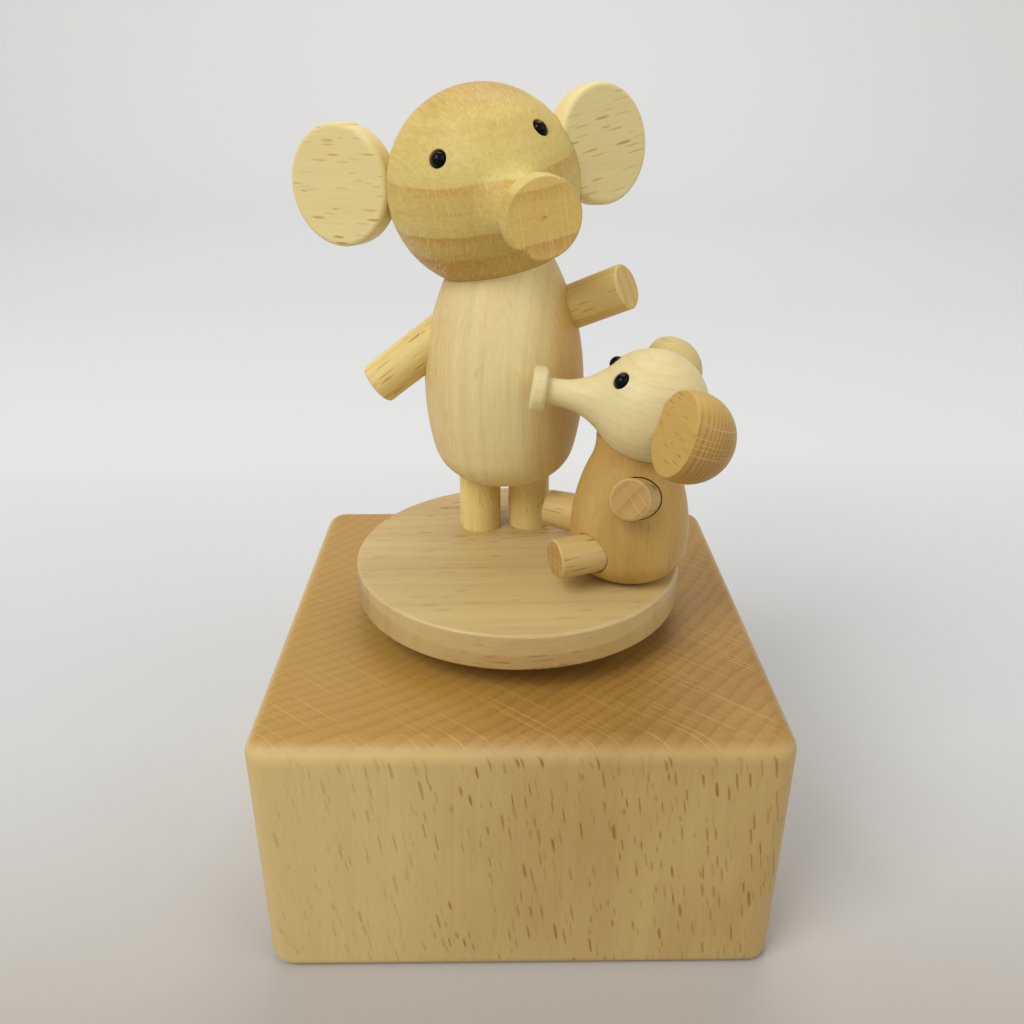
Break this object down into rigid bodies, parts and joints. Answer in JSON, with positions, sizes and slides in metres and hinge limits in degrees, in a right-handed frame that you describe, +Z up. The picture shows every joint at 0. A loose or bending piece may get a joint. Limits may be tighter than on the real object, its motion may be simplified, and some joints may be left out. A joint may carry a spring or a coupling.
{
  "type": "rotating music box",
  "caption": "Wooden music box: a square block with a comb movement inside and a round turning disc that carries a standing and a sitting turned-wood elephant.",
  "frame": {"origin": "middle of the block's underside", "axes": "+Z up along the winding stem, +X to the viewer's right, the block's front and the large elephant's face towards -Y"},
  "size_m": [0.065, 0.065, 0.1043],
  "materials": {
    "block_wood": "fine sanded beech, unvarnished",
    "cover_wood": "plain beech plywood",
    "disc_wood": "fine sanded beech",
    "large_body_wood": "pale turned beech, satin",
    "large_head_wood": "turned beech with darker bands, satin",
    "large_ear_wood": "pale beech, satin",
    "large_limb_wood": "beech dowel, satin",
    "small_body_wood": "golden turned beech, satin",
    "small_head_wood": "pale turned beech, satin",
    "small_ear_wood": "golden beech, satin",
    "small_limb_wood": "beech dowel, satin",
    "bead": "black, glossy",
    "casting": "as cast, matte grey",
    "steel": "ground",
    "spring_steel": "blued",
    "brass": "turned",
    "fly_plastic": "moulded"
  },
  "bodies": {
    "box": {"block": "block_wood", "bottom_cover": "cover_wood", "cover_screws": "steel", "bedplate": "casting", "mount_screws": "steel", "spring_housing": "steel", "housing_pillars": "steel", "housing_screws": "steel", "mainspring": "spring_steel", "gear_end_bearing": "steel", "bearing_screw": "steel", "comb": "spring_steel", "comb_screws": "steel", "governor_frame": "brass", "governor_screws": "steel"},
    "turntable": {"turntable_disc": "disc_wood", "turntable_hub": "steel", "winding_stem": "steel", "drive_wheel": "brass", "click_spring": "spring_steel", "elephant_body": "large_body_wood", "elephant_head": "large_head_wood", "elephant_left_leg": "large_limb_wood", "elephant_left_arm": "large_limb_wood", "elephant_left_ear": "large_ear_wood", "elephant_left_eye": "bead", "elephant_right_leg": "large_limb_wood", "elephant_right_arm": "large_limb_wood", "elephant_right_ear": "large_ear_wood", "elephant_right_eye": "bead", "calf_body": "small_body_wood", "calf_head": "small_head_wood", "calf_left_leg": "small_limb_wood", "calf_left_arm": "small_limb_wood", "calf_left_ear": "small_ear_wood", "calf_left_eye": "bead", "calf_right_leg": "small_limb_wood", "calf_right_arm": "small_limb_wood", "calf_right_ear": "small_ear_wood", "calf_right_eye": "bead"},
    "cylinder": {"cylinder": "brass", "cylinder_pins": "steel", "cylinder_arbor": "steel", "cylinder_gear": "brass", "timing_wheel": "brass"},
    "governor_first": {"governor_first_pinion": "steel", "governor_first_wheel": "brass"},
    "governor_second": {"governor_second_pinion": "steel", "worm_wheel": "brass"},
    "worm": {"worm": "steel", "fly": "fly_plastic"}
  },
  "joints": [
    {"name": "turntable_spin", "type": "hinge", "parent": "box", "child": "turntable", "pos_m": [0, 0, 0.044], "axis": [0, 0, 1], "continuous": true},
    {"name": "cylinder_spin", "type": "hinge", "parent": "box", "child": "cylinder", "pos_m": [0.019, 0, 0.01776], "axis": [1, 0, 0], "continuous": true},
    {"name": "governor_first_spin", "type": "hinge", "parent": "box", "child": "governor_first", "pos_m": [0.0217, 0.00923, 0.01511], "axis": [1, 0, 0], "continuous": true},
    {"name": "governor_second_spin", "type": "hinge", "parent": "box", "child": "governor_second", "pos_m": [0.019, 0.01365, 0.01699], "axis": [1, 0, 0], "continuous": true},
    {"name": "worm_spin", "type": "hinge", "parent": "box", "child": "worm", "pos_m": [0.019, 0.01835, 0.01699], "axis": [0, 0, 1], "continuous": true}
  ],
  "couplings": [
    {"joint": "cylinder_spin", "follows": "turntable_spin", "ratio": -2},
    {"joint": "governor_first_spin", "follows": "turntable_spin", "ratio": 10},
    {"joint": "governor_second_spin", "follows": "turntable_spin", "ratio": -30},
    {"joint": "worm_spin", "follows": "turntable_spin", "ratio": 600}
  ]
}
